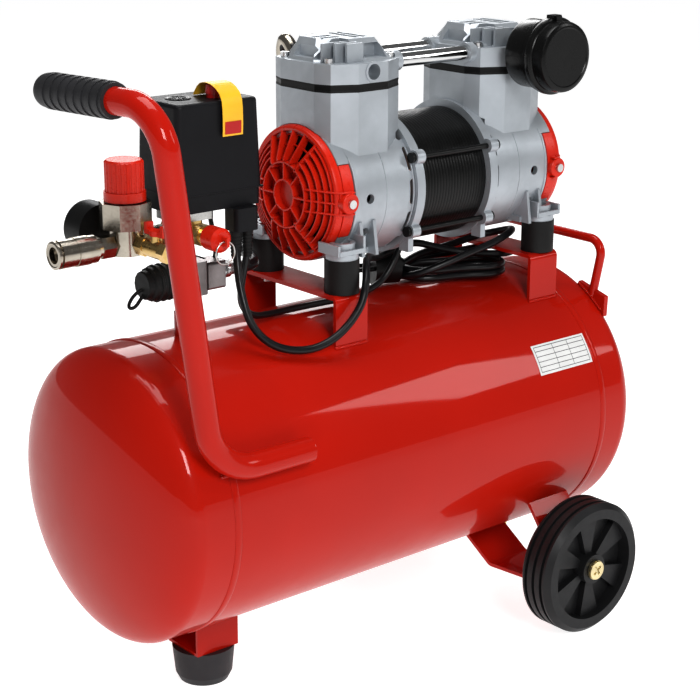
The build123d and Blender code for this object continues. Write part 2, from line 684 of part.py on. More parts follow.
# --- Air filter on the rear head's near port ---
FILTER = (PUMP_X + CYLINDER_D, PORT_Z)
FILTER_BODY = (FILTER[0], FILTER[1] + 4)
with BuildPart() as air_filter:
    bar(y_face(-50), FILTER, PORT_R - 0.05, 25)
    bar(y_face(-58.1), FILTER, 11, 13)
    bar(y_face(-69), FILTER_BODY, 36, 37)
    bar(y_face(-104), FILTER_BODY, 40.5, 6)
    bar(y_face(-108), FILTER_BODY, 37, 18)
    block(y_face(-102), (FILTER_BODY[0], FILTER_BODY[1] + 40), 12, 5, 10)
    bar(y_face(-72), FILTER_BODY, 32, 50, Mode.SUBTRACT)
    bar(y_face(-49), FILTER, 5, 40, Mode.SUBTRACT)
save(air_filter, "air_filter")

# --- Check valve on the tank's bung, with a capped service port ---
with BuildPart() as check_valve:
    bar(z_face(BUNG_TOP - 24), (LINE_X, 0), 8.4, 44)
    hexagon(z_face(BUNG_TOP + 0.1), (LINE_X, 0), 22, 8)
    block(z_face(CHECK_Z - 17), (LINE_X, 0), 34, 30, 34, corner=4)
    block(x_face(LINE_X + 17), (0, CHECK_Z), 28, 28, 21, corner=3)
    bar(x_face(LINE_X + 38), (0, CHECK_Z), 6, 20)
    bar(x_face(LINE_X - 17), (0, CHECK_Z), 10, -22)
save(check_valve, "check_valve")

CAP_OPEN_X = LINE_X - 18
with BuildPart() as dust_cap:
    bar(x_face(CAP_OPEN_X), (0, CHECK_Z), 17, -34)
    for rib in range(4):
        bar(x_face(CAP_OPEN_X - 2 - 8 * rib), (0, CHECK_Z), 19, -4)
    block(x_face(CAP_OPEN_X - 34), (0, CHECK_Z - 6), 10, 12, -3)
    strap = [(-253, CHECK_Z - 2), (-268, CHECK_Z - 14), (-260, CHECK_Z - 20), (-250, CHECK_Z - 12)]
    prism(y_face(4), strap, 8)
    bar(x_face(CAP_OPEN_X + 1), (0, CHECK_Z), 10.3, -24, Mode.SUBTRACT)
save(dust_cap, "dust_cap")

# --- Manifold cross above it, carrying the pressure switch ---
with BuildPart() as manifold_cross:
    bar(z_face(CHECK_Z + 17), (LINE_X, 0), 8, CROSS_Z - CHECK_Z - 29)
    block(z_face(CROSS_Z - 12), (LINE_X, 0), 26, 26, 24, corner=3)
    bar(y_face(24), (LINE_X, CROSS_Z), 8, 44)
    bar(x_face(LINE_X - 24), (0, CROSS_Z), 8, 24)
    hexagon(y_face(30), (LINE_X, CROSS_Z), 16, 8)
save(manifold_cross, "manifold_cross")

# --- Safety valve with its sprung pull cap and ring ---
with BuildPart() as safety_valve_body:
    hexagon(y_face(-20), (LINE_X, CROSS_Z), 19, 13.8)
    bar(y_face(-33), (LINE_X, CROSS_Z), 8.5, 4)
    bar(y_face(-33), (LINE_X, CROSS_Z), 7, 20)
    bar(y_face(-30), (LINE_X, CROSS_Z), 2.6, 24, Mode.SUBTRACT)
save(safety_valve_body, "safety_valve_body")

RING_Y = -66
RING_R = 11
with BuildPart() as safety_valve_cap:
    bar(y_face(-42), (LINE_X, CROSS_Z), 12, 20)
    chamfer(safety_valve_cap.edges().sort_by(Axis.Y)[0], 3)
    bar(y_face(-41), (LINE_X, CROSS_Z), 7.3, 14, Mode.SUBTRACT)
    bar(y_face(-41), (LINE_X, CROSS_Z), 2.5, 21)
    block(y_face(-62), (LINE_X, CROSS_Z), 3, 9, 9)
    bar(x_face(LINE_X - 5), (RING_Y, CROSS_Z), 1.6, 10, Mode.SUBTRACT)
save(safety_valve_cap, "safety_valve_cap")

with BuildPart() as safety_ring:
    with BuildSketch(x_face(LINE_X)) as wire:
        with Locations((RING_Y, CROSS_Z)):
            Circle(0.8)
    ring_axis = Axis((LINE_X, RING_Y, CROSS_Z - RING_R), (0, 1, 0))
    revolve(wire.sketch, axis=ring_axis)
save(safety_ring, "safety_ring")

# --- Pressure regulator with its knob, gauge, outlets ---
with BuildPart() as regulator_body:
    bar(z_face(472), (REG_X, 0), 17, 27)
    hexagon(z_face(498), (REG_X, 0), 47, 25, sides=8)
    bar(z_face(523), (REG_X, 0), 4, 22)
    hexagon(x_face(REG_X + 16), (0, CROSS_Z), 17, LINE_X - 24 - REG_X - 16)
    bar(y_face(36), (REG_X, GAUGE_Z), 6, 22)
    bar(y_face(-12), (VALVE_X, VALVE_Z), 8, 5.5)
save(regulator_body, "regulator_body")

KNOB_Z = 524
with BuildPart() as regulator_knob:
    bar(z_face(KNOB_Z), (REG_X, 0), 20.2, 9)
    bar(z_face(KNOB_Z + 9), (REG_X, 0), 18.8, 30)
    chamfer(regulator_knob.edges().sort_by(Axis.Z)[-1], 2)
    with BuildSketch(z_face(KNOB_Z + 9)) as flutes:
        with Locations((REG_X, 0)):
            with PolarLocations(19.5, 24):
                Circle(1.5)
    extrude(flutes.sketch, amount=40, mode=Mode.SUBTRACT)
    bar(z_face(KNOB_Z), (REG_X, 0), 4.06, 24, Mode.SUBTRACT)
save(regulator_knob, "regulator_knob")

with BuildPart() as gauge_case:
    bar(y_face(GAUGE_Y), (REG_X - 4, GAUGE_Z), GAUGE_R, 28)
    bar(y_face(GAUGE_Y), (REG_X - 4, GAUGE_Z), GAUGE_R - 2.5, 8, Mode.SUBTRACT)
    bar(y_face(GAUGE_Y), (REG_X - 4, GAUGE_Z), 1.5, 10)
save(gauge_case, "gauge_case")

with BuildPart() as gauge_needle:
    bar(y_face(GAUGE_Y - 2), (REG_X - 4, GAUGE_Z), 3, 1.2)
    needle = [
        (REG_X - 3, GAUGE_Z), (REG_X - 20, GAUGE_Z - 15),
        (REG_X - 21, GAUGE_Z - 14), (REG_X - 5, GAUGE_Z + 1.5),
    ]
    prism(y_face(GAUGE_Y - 2), needle, 1.2)
    bar(y_face(GAUGE_Y), (REG_X - 4, GAUGE_Z), 1.55, 10, Mode.SUBTRACT)
save(gauge_needle, "gauge_needle")

# --- Quick coupler ---
COUPLER_X = REG_X - 17
with BuildPart() as coupler_body:
    hexagon(x_face(COUPLER_X), (0, REG_Z), 20, -14)
    bar(x_face(COUPLER_X - 14), (0, REG_Z), 10, -49)
    bar(x_face(COUPLER_X - 61), (0, REG_Z), 13.5, -2)
    bar(x_face(COUPLER_X - 80), (0, REG_Z), 5.5, 48, Mode.SUBTRACT)
    bar(x_face(COUPLER_X - 80), (0, REG_Z), 8, 24, Mode.SUBTRACT)
save(coupler_body, "coupler_body")

with BuildPart() as coupler_sleeve:
    bar(x_face(COUPLER_X - 20), (0, REG_Z), 13.6, -39)
    bar(x_face(COUPLER_X - 28), (0, REG_Z), 14.2, -14)
    bar(x_face(COUPLER_X - 10), (0, REG_Z), 10.06, -60, Mode.SUBTRACT)
save(coupler_sleeve, "coupler_sleeve")

# --- Ball valve: the lever turns the stem and ball ---
LEVER_Y = -43
BALL_R = 6.5
BALL_BORE = 4.5
INLET_R = 3.5
with BuildPart() as ball_valve_body:
    bar(y_face(-17.5), (VALVE_X, VALVE_Z), 9, 48)
    hexagon(y_face(-17.5), (VALVE_X, VALVE_Z), 18, 12)
    hexagon(y_face(-55), (VALVE_X, VALVE_Z), 18, 11)
    bar(z_face(VALVE_Z), (VALVE_X, LEVER_Y), 6, 13)
    bar(y_face(-17), (VALVE_X, VALVE_Z), INLET_R, 60, Mode.SUBTRACT)
    bar(y_face(LEVER_Y), (VALVE_X, VALVE_Z), 4, 30, Mode.SUBTRACT)
    bar(z_face(VALVE_Z), (VALVE_X, LEVER_Y), 3.05, 20, Mode.SUBTRACT)
    with Locations((VALVE_X, LEVER_Y, VALVE_Z)):
        Sphere(BALL_R + 0.06, mode=Mode.SUBTRACT)
save(ball_valve_body, "ball_valve_body")

with BuildPart() as ball_valve_lever:
    with Locations((VALVE_X, LEVER_Y, VALVE_Z)):
        Sphere(BALL_R)
    bar(z_face(VALVE_Z), (VALVE_X, LEVER_Y), 3, 14)
    bar(y_face(LEVER_Y + 20), (VALVE_X, VALVE_Z), BALL_BORE, 40, Mode.SUBTRACT)
    bar(z_face(VALVE_Z + 13.3), (VALVE_X, LEVER_Y), 7, 5)
    block(z_face(VALVE_Z + 13.3), (VALVE_X, LEVER_Y), 8, 30, 5)
    for y in (-13, 13):
        block(z_face(VALVE_Z + 13.3), (VALVE_X, LEVER_Y + y), 8, 4, 11)
save(ball_valve_lever, "ball_valve_lever")

# --- Pressure switch ---
SWITCH_MID = ((SWITCH_X[0] + SWITCH_X[1]) / 2, (SWITCH_Y[0] + SWITCH_Y[1]) / 2)
SWITCH_W = SWITCH_X[1] - SWITCH_X[0]
SWITCH_D = SWITCH_Y[1] - SWITCH_Y[0]
SEAM_Z = 525
with BuildPart() as switch_base:
    block(z_face(SWITCH_Z[0]), SWITCH_MID, SWITCH_W - 3, SWITCH_D - 3, SEAM_Z - SWITCH_Z[0], corner=6)
    block(z_face(GLAND_Z), GLAND, 28, 24, SWITCH_Z[0] - GLAND_Z, corner=6)
    inner = (SWITCH_W - 9, SWITCH_D - 9)
    block(z_face(SWITCH_Z[0] + 3), SWITCH_MID, *inner, 30, Mode.SUBTRACT, corner=4)
    bar(z_face(SWITCH_Z[0] - 1), (LINE_X, 0), 9, 5, Mode.SUBTRACT)
save(switch_base, "switch_base")

KNOB_AT = (-166, -5)
COVER_T = 2.5


def drafted_box(bottom_z, top_z, inset):
    with BuildPart() as box:
        for z, draft in ((bottom_z, 0), (top_z, 5)):
            with BuildSketch(z_face(z)):
                with Locations(SWITCH_MID):
                    RectangleRounded(SWITCH_W - draft - 2 * inset, SWITCH_D - draft - 2 * inset, 7 - inset)
        loft()
    return box.part


cover_outside = drafted_box(SEAM_Z, SWITCH_Z[1], 0)
cover_inside = drafted_box(SEAM_Z, SWITCH_Z[1] - COVER_T, COVER_T)
with BuildPart() as switch_cover:
    add(cover_outside)
    fillet(switch_cover.faces().sort_by(Axis.Z)[-1].edges(), 4)
    add(cover_inside, mode=Mode.SUBTRACT)
    bar(z_face(SWITCH_Z[1] - 10), KNOB_AT, 8, 20, Mode.SUBTRACT)
save(switch_cover, "switch_cover")

with BuildPart() as switch_mechanism:
    block(z_face(CROSS_Z + 12), (LINE_X, 0), 42, 40, SWITCH_Z[0] - CROSS_Z - 12, corner=3)
    bar(z_face(SWITCH_Z[0]), (LINE_X, 0), 9, 3)
    block(z_face(SWITCH_Z[0] + 3), SWITCH_MID, SWITCH_W - 24, SWITCH_D - 24, 60)
save(switch_mechanism, "switch_mechanism")

with BuildPart() as switch_knob:
    bar(z_face(572), KNOB_AT, 7.5, 53)
    fillet(switch_knob.edges().sort_by(Axis.Z)[-1], 1.5)
save(switch_knob, "switch_knob")


# --- Delivery pipe: a bent tube from the front head to the check valve, round the far side ---
def route_radii(points):
    radii = []
    for before, corner, after in zip(points, points[1:], points[2:]):
        into = Vector(*corner) - Vector(*before)
        out = Vector(*after) - Vector(*corner)
        turn = into.get_angle(out)
        shorter = min(into.length, out.length)
        radii.append(0.45 * shorter / tan(radians(turn / 2)))
        if turn > 90:
            print("sharp turn", round(turn), corner)
    return radii


def cable(points, radius, name):
    radii = route_radii(points)
    with BuildPart() as tube:
        with BuildLine() as path:
            FilletPolyline(*points, radius=radii)
        with BuildSketch(Plane(origin=path.line @ 0, z_dir=path.line % 0)):
            Circle(radius)
        sweep()
    length = path.wires()[0].length
    print(name, "length", round(length), "radii", [round(r) for r in radii])
    print(name, "volume ratio", round(tube.part.volume / (pi * radius**2 * length), 4))
    return tube


FAR_PORT = (CYLINDERS_X[0], PORT_Z)
PIPE_ROUTE = [
    (LINE_X + 58, 0, CHECK_Z), (-116, 0, CHECK_Z), (-92, 38, 436), (-84, 80, 438),
    (-50, 94, 448), (-12, 96, 474), (2, 96, 520), (2, 96, 590), (-2, 97, 632),
    (-7, 84, 648), (FAR_PORT[0], 70, 636), (FAR_PORT[0], 64, PORT_Z),
    (FAR_PORT[0], 58.1, PORT_Z),
]
delivery_pipe = cable(PIPE_ROUTE, 6, "delivery_pipe")
save(delivery_pipe, "delivery_pipe")

# --- Mains cord: gland, hanging loop, hank on the tank, plug ---
CORD_EXIT = (GLAND[0] - 7, GLAND[1], GLAND_Z)
CORD_ROUTE = [
    CORD_EXIT, (-160, -29, 460), (-168, -46, 426), (-166, -60, 392), (-146, -74, 370), (-110, -84, 363),
    (-78, -90, 374), (-50, -90, 398), (-38, -84, 420), (-24, -67, 434), (-6, -48, 436), (15, -29, 429),
    (38, -10, 421), (62, 3, 418), (88, 9, 422), (114, 10, 423), (138, 7, 415), (156, 3, 402),
]
mains_cord = cable(CORD_ROUTE, CORD_R, "mains_cord")
save(mains_cord, "mains_cord")

LEAD_EXIT = (GLAND[0] + 7, GLAND[1], GLAND_Z)
LEAD_ROUTE = [
    LEAD_EXIT, (-146, -29, 458), (-150, -24, 430), (-148, -18, 404), (-130, -13, 387), (-104, -9, 384),
    (-72, -8, 384), (-38, -9, 384), (-4, -12, 384), (30, -14, 388), (57, -14, 403), (71, -14, 432),
]
motor_lead = cable(LEAD_ROUTE, LEAD_R, "motor_lead")
save(motor_lead, "motor_lead")

# --- Hank of spare cord on the tank: two layers of turns, and a loose turn raised over the bracket ---
HANK_TURN = -21
HANK_LAYERS = [
    ((156, -5), 124, 50, HANK_TURN, (381, 404)),
    ((182, 2), 138, 42, -5, (386, 402)),
]
RAISED_TURN = [
    (112, -20, 398), (132, -30, 407), (156, -38, 415), (182, -42, 421), (205, -43, 427), (221, -33, 430),
    (226, -14, 424), (218, 4, 419), (198, 11, 416), (176, 8, 408), (160, 2, 400),
]
with BuildPart() as cord_hank:
    for middle, length, width, turn, levels in HANK_LAYERS:
        layer_plane = Plane(origin=(*middle, levels[0]), z_dir=(0, 0, 1)).rotated((0, 0, turn))
        with BuildSketch(layer_plane) as turns:
            SlotOverall(length, width)
        extrude(turns.sketch, amount=levels[1] - levels[0])
    add(cable(RAISED_TURN, CORD_R, "raised turn").part)
save(cord_hank, "cord_hank")

# --- Plug lying against the hank's front end ---
PLUG_AT = (98.5, 17.6, 398)
PLUG_R = 19
PLUG_L = 34
away = Vector(-cos(radians(HANK_TURN)), -sin(radians(HANK_TURN)), 0)
plug_plane = Plane(origin=PLUG_AT, x_dir=(0, 0, 1), z_dir=away)
with BuildPart() as mains_plug:
    bar(plug_plane.offset(-3), (0, 0), 8, 10)
    bar(plug_plane.offset(4), (0, 0), PLUG_R, PLUG_L - 4)
    for pin_y in (-9.5, 9.5):
        bar(plug_plane.offset(PLUG_L - 1), (0, pin_y), 2.4, 20)
save(mains_plug, "mains_plug")
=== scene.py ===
"""Visual model of the twin-head air compressor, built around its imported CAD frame."""
from math import cos, radians, sin, sqrt, tau

import bmesh
import bpy
from mathutils import Matrix, Vector


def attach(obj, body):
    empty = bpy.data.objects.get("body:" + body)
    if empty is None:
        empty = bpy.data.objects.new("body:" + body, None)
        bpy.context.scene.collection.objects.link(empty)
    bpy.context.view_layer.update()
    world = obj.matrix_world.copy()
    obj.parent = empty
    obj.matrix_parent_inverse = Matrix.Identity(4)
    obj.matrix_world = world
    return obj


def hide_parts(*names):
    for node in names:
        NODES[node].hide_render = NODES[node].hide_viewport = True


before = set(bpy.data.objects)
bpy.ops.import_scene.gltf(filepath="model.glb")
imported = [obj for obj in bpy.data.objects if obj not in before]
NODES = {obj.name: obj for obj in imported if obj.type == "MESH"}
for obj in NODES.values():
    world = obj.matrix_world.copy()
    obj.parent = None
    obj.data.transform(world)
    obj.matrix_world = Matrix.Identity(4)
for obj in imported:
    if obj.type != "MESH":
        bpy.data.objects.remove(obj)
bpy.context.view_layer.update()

MM = 0.001
ON_AXIS = 0.01  # a turned profile stops this short of its axis
SCENE = bpy.context.scene
ENDS = {-1: "front", 1: "rear"}
FLANKS = {-1: "near", 1: "far"}


def in_scene(name, data):
    made = bpy.data.objects.new(name, data)
    SCENE.collection.objects.link(made)
    return made


# --- Camera: a three-quarter view of the near side and the handle's end ---
SENSOR_WIDTH, FOCAL_LENGTH = 36, 90.215486
CAMERA_AT = Vector((-1.1585, -1.3787, 0.8760))
CAMERA_TURN, CAMERA_DOWN, CAMERA_ROLL = radians(-40.33), radians(17.07), radians(0.25)
ahead = Vector((
    -sin(CAMERA_TURN) * cos(CAMERA_DOWN),
    cos(CAMERA_TURN) * cos(CAMERA_DOWN),
    -sin(CAMERA_DOWN),
))
level = Vector((cos(CAMERA_TURN), sin(CAMERA_TURN), 0))
lift = level.cross(ahead)
right = level * cos(CAMERA_ROLL) + lift * sin(CAMERA_ROLL)
above = lift * cos(CAMERA_ROLL) - level * sin(CAMERA_ROLL)
camera = in_scene("camera", bpy.data.cameras.new("camera"))
camera.matrix_world = Matrix((
    (right.x, above.x, -ahead.x, CAMERA_AT.x),
    (right.y, above.y, -ahead.y, CAMERA_AT.y),
    (right.z, above.z, -ahead.z, CAMERA_AT.z),
    (0, 0, 0, 1),
))
camera.data.sensor_width = SENSOR_WIDTH
camera.data.lens = FOCAL_LENGTH
camera.data.clip_end = 20
SCENE.camera = camera


# --- Materials ---
def nodes_of(name):
    material = bpy.data.materials.new(name)
    material.use_nodes = True
    tree = material.node_tree
    return material, tree, tree.nodes["Principled BSDF"]


def add_node(tree, kind, **values):
    node = tree.nodes.new(kind)
    for key, value in values.items():
        if key in node.inputs:
            node.inputs[key].default_value = value
        else:
            setattr(node, key, value)
    return node


def noise(tree, scale, detail=4.0, rough=0.55, stretch=(1, 1, 1)):
    place = add_node(tree, "ShaderNodeTexCoord")
    spread = add_node(tree, "ShaderNodeMapping")
    spread.inputs["Scale"].default_value = stretch
    grain = add_node(tree, "ShaderNodeTexNoise", Scale=scale, Detail=detail, Roughness=rough)
    tree.links.new(place.outputs["Object"], spread.inputs["Vector"])
    tree.links.new(spread.outputs["Vector"], grain.inputs["Vector"])
    return grain.outputs["Fac"]


def spread_to(tree, source, low, high, start=0.3, end=0.7):
    remap = add_node(tree, "ShaderNodeMapRange")
    for key, value in (("From Min", start), ("From Max", end), ("To Min", low), ("To Max", high)):
        remap.inputs[key].default_value = value
    tree.links.new(source, remap.inputs["Value"])
    return remap.outputs["Result"]


def two_tone(tree, source, dark, light):
    ramp = add_node(tree, "ShaderNodeValToRGB")
    ramp.color_ramp.elements[0].position = 0.3
    ramp.color_ramp.elements[0].color = (*dark, 1)
    ramp.color_ramp.elements[1].position = 0.7
    ramp.color_ramp.elements[1].color = (*light, 1)
    tree.links.new(source, ramp.inputs["Fac"])
    return ramp.outputs["Color"]


def surface(name, color, rough, vary=0.08, tone=12.0, rough_vary=0.05, grain=(), metal=0.0, coat=0.0,
            coat_rough=0.04, specular=0.5, stretch=(1, 1, 1)):
    """A surface with slow colour variation, uneven gloss and a bump for each (scale, height) grain."""
    material, tree, shader = nodes_of(name)
    slow = noise(tree, tone, 3.0, stretch=stretch)
    dark = tuple(c * (1 - vary) for c in color)
    light = tuple(min(1.0, c * (1 + vary)) for c in color)
    tree.links.new(two_tone(tree, slow, dark, light), shader.inputs["Base Color"])
    fine = noise(tree, tone * 6, 5.0, stretch=stretch)
    low, high = max(0.02, rough - rough_vary), min(1.0, rough + rough_vary)
    tree.links.new(spread_to(tree, fine, low, high), shader.inputs["Roughness"])
    shader.inputs["Metallic"].default_value = metal
    shader.inputs["Coat Weight"].default_value = coat
    shader.inputs["Coat Roughness"].default_value = coat_rough
    shader.inputs["Specular IOR Level"].default_value = specular
    normal = None
    for scale, height in grain:
        bump = add_node(tree, "ShaderNodeBump", Strength=1.0, Distance=height)
        tree.links.new(noise(tree, scale, 3.0, stretch=stretch), bump.inputs["Height"])
        if normal:
            tree.links.new(normal, bump.inputs["Normal"])
        normal = bump.outputs["Normal"]
    if normal:
        tree.links.new(normal, shader.inputs["Normal"])
    return material


RED_PAINT = surface("red_paint", (0.47, 0.012, 0.003), 0.42, vary=0.06, tone=5, grain=((260, 0.00003),),
                    coat=0.5, coat_rough=0.05, specular=0.05)
RED_PLASTIC = surface("red_plastic", (0.62, 0.022, 0.005), 0.30, vary=0.06, tone=30,
                      grain=((900, 0.00002),), specular=0.4)
SWITCH_RED = surface("switch_red", (0.52, 0.012, 0.01), 0.26, vary=0.05, tone=40,
                     grain=((1200, 0.00002),))
TAG_YELLOW = surface("tag_yellow", (0.86, 0.50, 0.03), 0.38, vary=0.05, tone=60, grain=((500, 0.00004),))
TAG_RED = surface("tag_red", (0.46, 0.010, 0.010), 0.38, vary=0.05, tone=60, grain=((500, 0.00004),))
LABEL_WHITE = surface("label_white", (0.74, 0.74, 0.73), 0.36, vary=0.04, tone=60,
                      grain=((600, 0.00003),))
LABEL_INK = surface("label_ink", (0.03, 0.03, 0.035), 0.40, vary=0.2, tone=60, grain=((600, 0.00003),))
CAST = surface("cast_aluminium", (0.44, 0.47, 0.50), 0.44, vary=0.09, tone=22, rough_vary=0.07,
               grain=((420, 0.00006), (1500, 0.00003)), metal=0.55)
MACHINED = surface("machined_aluminium", (0.72, 0.73, 0.75), 0.26, vary=0.06, tone=30, metal=1.0,
                   grain=((900, 0.00002),))
STEEL = surface("steel", (0.58, 0.57, 0.55), 0.30, vary=0.10, tone=60, metal=1.0,
                grain=((900, 0.00002),))
ZINC = surface("zinc_steel", (0.66, 0.66, 0.66), 0.30, vary=0.12, tone=60, metal=1.0,
               grain=((700, 0.00003),))
YELLOW_ZINC = surface("yellow_zinc", (0.72, 0.62, 0.38), 0.30, vary=0.18, tone=60, metal=1.0,
                      grain=((700, 0.00003),))
BRASS = surface("brass", (0.66, 0.47, 0.20), 0.30, vary=0.14, tone=50, metal=1.0,
                grain=((800, 0.00004),))
NICKEL = surface("nickel", (0.46, 0.42, 0.36), 0.20, vary=0.12, tone=60, metal=1.0,
                 grain=((600, 0.00003),))
DIE_CAST = surface("die_cast", (0.30, 0.27, 0.27), 0.36, vary=0.14, tone=60, metal=0.9,
                   grain=((600, 0.00006),))
CHROME = surface("chrome", (0.62, 0.62, 0.62), 0.12, vary=0.03, tone=20, rough_vary=0.03, metal=1.0)
BLACK_PLASTIC = surface("black_plastic", (0.008, 0.008, 0.008), 0.40, vary=0.2, tone=25,
                        grain=((1400, 0.00004),), specular=0.25)
GLOSS_BLACK = surface("gloss_black", (0.006, 0.006, 0.006), 0.24, vary=0.2, tone=25,
                      grain=((1400, 0.00002),), specular=0.28)
SWITCH_BLACK = surface("switch_black", (0.008, 0.008, 0.010), 0.44, vary=0.15, tone=25,
                       grain=((2200, 0.00005),), specular=0.24)
WHEEL_BLACK = surface("wheel_black", (0.015, 0.015, 0.016), 0.46, vary=0.2, tone=18,
                      grain=((900, 0.00006),), specular=0.35)
RUBBER = surface("rubber", (0.011, 0.011, 0.011), 0.52, vary=0.2, tone=30, grain=((900, 0.00008),),
                 specular=0.3)
GRIP_RUBBER = surface("grip_rubber", (0.036, 0.036, 0.039), 0.50, vary=0.15, tone=30,
                      grain=((1600, 0.00006),), specular=0.35)
CABLE = surface("cable", (0.007, 0.007, 0.008), 0.32, vary=0.2, tone=40, grain=((700, 0.00005),),
                specular=0.4)
BLACK_STEEL = surface("black_steel", (0.006, 0.006, 0.006), 0.34, vary=0.25, tone=30,
                      grain=((700, 0.00005),), specular=0.28)
GASKET = surface("gasket", (0.008, 0.008, 0.008), 0.50, vary=0.2, tone=40, grain=((900, 0.00005),),
                 specular=0.3)
COPPER = surface("copper", (0.62, 0.30, 0.16), 0.32, vary=0.15, tone=60, metal=1.0,
                 grain=((500, 0.0001),))
IRON = surface("cast_iron", (0.20, 0.20, 0.20), 0.45, vary=0.15, tone=40, metal=1.0,
               grain=((500, 0.0001),))

SKINS = {
    RED_PAINT: "tank_shell pump_bracket_front pump_bracket_rear foot_bracket wheel_bracket push_handle "
               "carry_handle",
    RED_PLASTIC: "fan_cover_front fan_cover_rear safety_valve_cap regulator_knob ball_valve_lever",
    SWITCH_RED: "switch_knob",
    CAST: "crankcase_front crankcase_rear cylinder_head_front cylinder_head_rear",
    MACHINED: "connecting_rod_front connecting_rod_rear cylinder_liners",
    STEEL: "rotor_core shaft_bearings safety_ring switch_mechanism",
    ZINC: "m8_bolts m5_screws",
    YELLOW_ZINC: "axle_bolts",
    BRASS: "drain_valve_body drain_valve_tap manifold_cross safety_valve_body ball_valve_body",
    NICKEL: "regulator_body coupler_body coupler_sleeve",
    DIE_CAST: "check_valve",
    CHROME: "transfer_pipes",
    BLACK_PLASTIC: "cooling_fans air_filter gauge_case gauge_needle mains_plug",
    SWITCH_BLACK: "switch_base switch_cover",
    WHEEL_BLACK: "wheel_near wheel_far",
    RUBBER: "rubber_mounts dust_cap",
    GRIP_RUBBER: "handle_grip rubber_foot",
    CABLE: "mains_cord motor_lead cord_hank delivery_pipe",
    BLACK_STEEL: "stator_stack through_bolts valve_plates",
    GASKET: "head_gaskets",
    COPPER: "stator_windings",
    IRON: "crankshaft",
}
for skin, names in SKINS.items():
    for node in names.split():
        for place in NODES[node].material_slots:
            place.material = skin


# --- Mesh tools: shapes are drawn in millimetres and made in metres ---
WELD_GAP = 0.000002


def add_prism(bm, points, along):
    lower = [bm.verts.new(point) for point in points]
    upper = [bm.verts.new(Vector(point) + Vector(along)) for point in points]
    bm.faces.new(lower)
    bm.faces.new(upper)
    for index in range(len(points)):
        after = (index + 1) % len(points)
        bm.faces.new((lower[index], lower[after], upper[after], upper[index]))


def add_box(bm, low, high):
    (x0, y0, z0), (x1, y1, z1) = low, high
    add_prism(bm, [(x0, y0, z0), (x1, y0, z0), (x1, y1, z0), (x0, y1, z0)], (0, 0, z1 - z0))


def add_lathe(bm, profile, origin, axis, steps=72, start=0.0, sweep=tau, up=(0, 0, 1)):
    """Turn a closed profile of (along, radius) points about an axis; the angle is 90 degrees at `up`."""
    axis, up = Vector(axis).normalized(), Vector(up)
    across = up.cross(axis)
    whole = sweep > tau - 0.001
    rings = []
    for step in range(steps if whole else steps + 1):
        angle = start + sweep * step / steps
        out = across * cos(angle) + up * sin(angle)
        rings.append([bm.verts.new(Vector(origin) + axis * along + out * radius)
                      for along, radius in profile])
    for step in range(steps):
        one, two = rings[step], rings[(step + 1) % len(rings)]
        for index in range(len(profile)):
            after = (index + 1) % len(profile)
            bm.faces.new((one[index], one[after], two[after], two[index]))
    if not whole:
        bm.faces.new(rings[0])
        bm.faces.new(rings[-1])


def to_object(name, bm, skin):
    mesh = bpy.data.meshes.new(name)
    bm.to_mesh(mesh)
    bm.free()
    mesh.materials.append(skin)
    mesh.shade_smooth()
    return in_scene(name, mesh)


def to_metres(bm):
    for vert in bm.verts:
        vert.co *= MM


def piece(name, bm, skin, body="root", stands_for=(), bevel=0.0, smooth=35):
    """Clean a drawn shape, make it an object, attach it to the body it rides with and hide the parts it
    stands for.
    """
    to_metres(bm)
    bmesh.ops.remove_doubles(bm, verts=bm.verts, dist=WELD_GAP)
    bmesh.ops.dissolve_degenerate(bm, edges=bm.edges, dist=WELD_GAP)
    bmesh.ops.recalc_face_normals(bm, faces=bm.faces)
    made = to_object(name, bm, skin)
    made.data.set_sharp_from_angle(angle=radians(smooth))
    if bevel:
        round_edges(made, bevel)
    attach(made, body)
    if stands_for:
        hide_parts(*stands_for)


def round_edges(thing, width, angle=38):
    soften = thing.modifiers.new("rounded edges", "BEVEL")
    soften.width = width * MM
    soften.segments = 2
    soften.limit_method = "ANGLE"
    soften.angle_limit = radians(angle)
    soften.harden_normals = True


# --- Cords and tubes: routes of control points in the shared frame, in millimetres ---
def tube(name, points, radius, skin, body="root", round_steps=3, path_steps=6):
    """A round tube that follows control points, with closed ends."""
    data = bpy.data.curves.new(name, "CURVE")
    data.dimensions = "3D"
    data.bevel_depth = radius * MM
    data.bevel_resolution = round_steps
    data.resolution_u = path_steps
    data.use_fill_caps = True
    line = data.splines.new("NURBS")
    line.points.add(len(points) - 1)
    for control, point in zip(line.points, points):
        control.co = (*(c * MM for c in point), 1)
    line.order_u = 3
    line.use_endpoint_u = True
    data.materials.append(skin)
    made = in_scene(name, data)
    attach(made, body)
    return made


HALF_TURN, DRAWN_IN = 10, 3


def hank_turn(middle, length, radius, turn, z, first, last, rise=0.0):
    """Control points round one turn of the hank: two half circles, and sides drawn in at their middle.

    A turn has two halves of ten places, from the middle of its near side; `rise` is the climb at each."""
    points = []
    straight = length / 2 - radius
    turn_cos, turn_sin = cos(radians(turn)), sin(radians(turn))
    for step in range(first, last + 1):
        half, nth = divmod(step % (2 * HALF_TURN), HALF_TURN)
        end = -1 if half else 1
        if nth == 0:
            along, across = 0, -end * (radius - DRAWN_IN)
        elif nth in (1, HALF_TURN - 1):
            along, across = end * (straight - 10), end * radius * (-1 if nth == 1 else 1)
        else:
            angle = radians(-90 + 30 * (nth - 2))
            along = end * (straight + radius * cos(angle))
            across = end * radius * sin(angle)
        points.append((
            middle[0] + along * turn_cos - across * turn_sin,
            middle[1] + along * turn_sin + across * turn_cos,
            z + rise * (step - first),
        ))
    return points


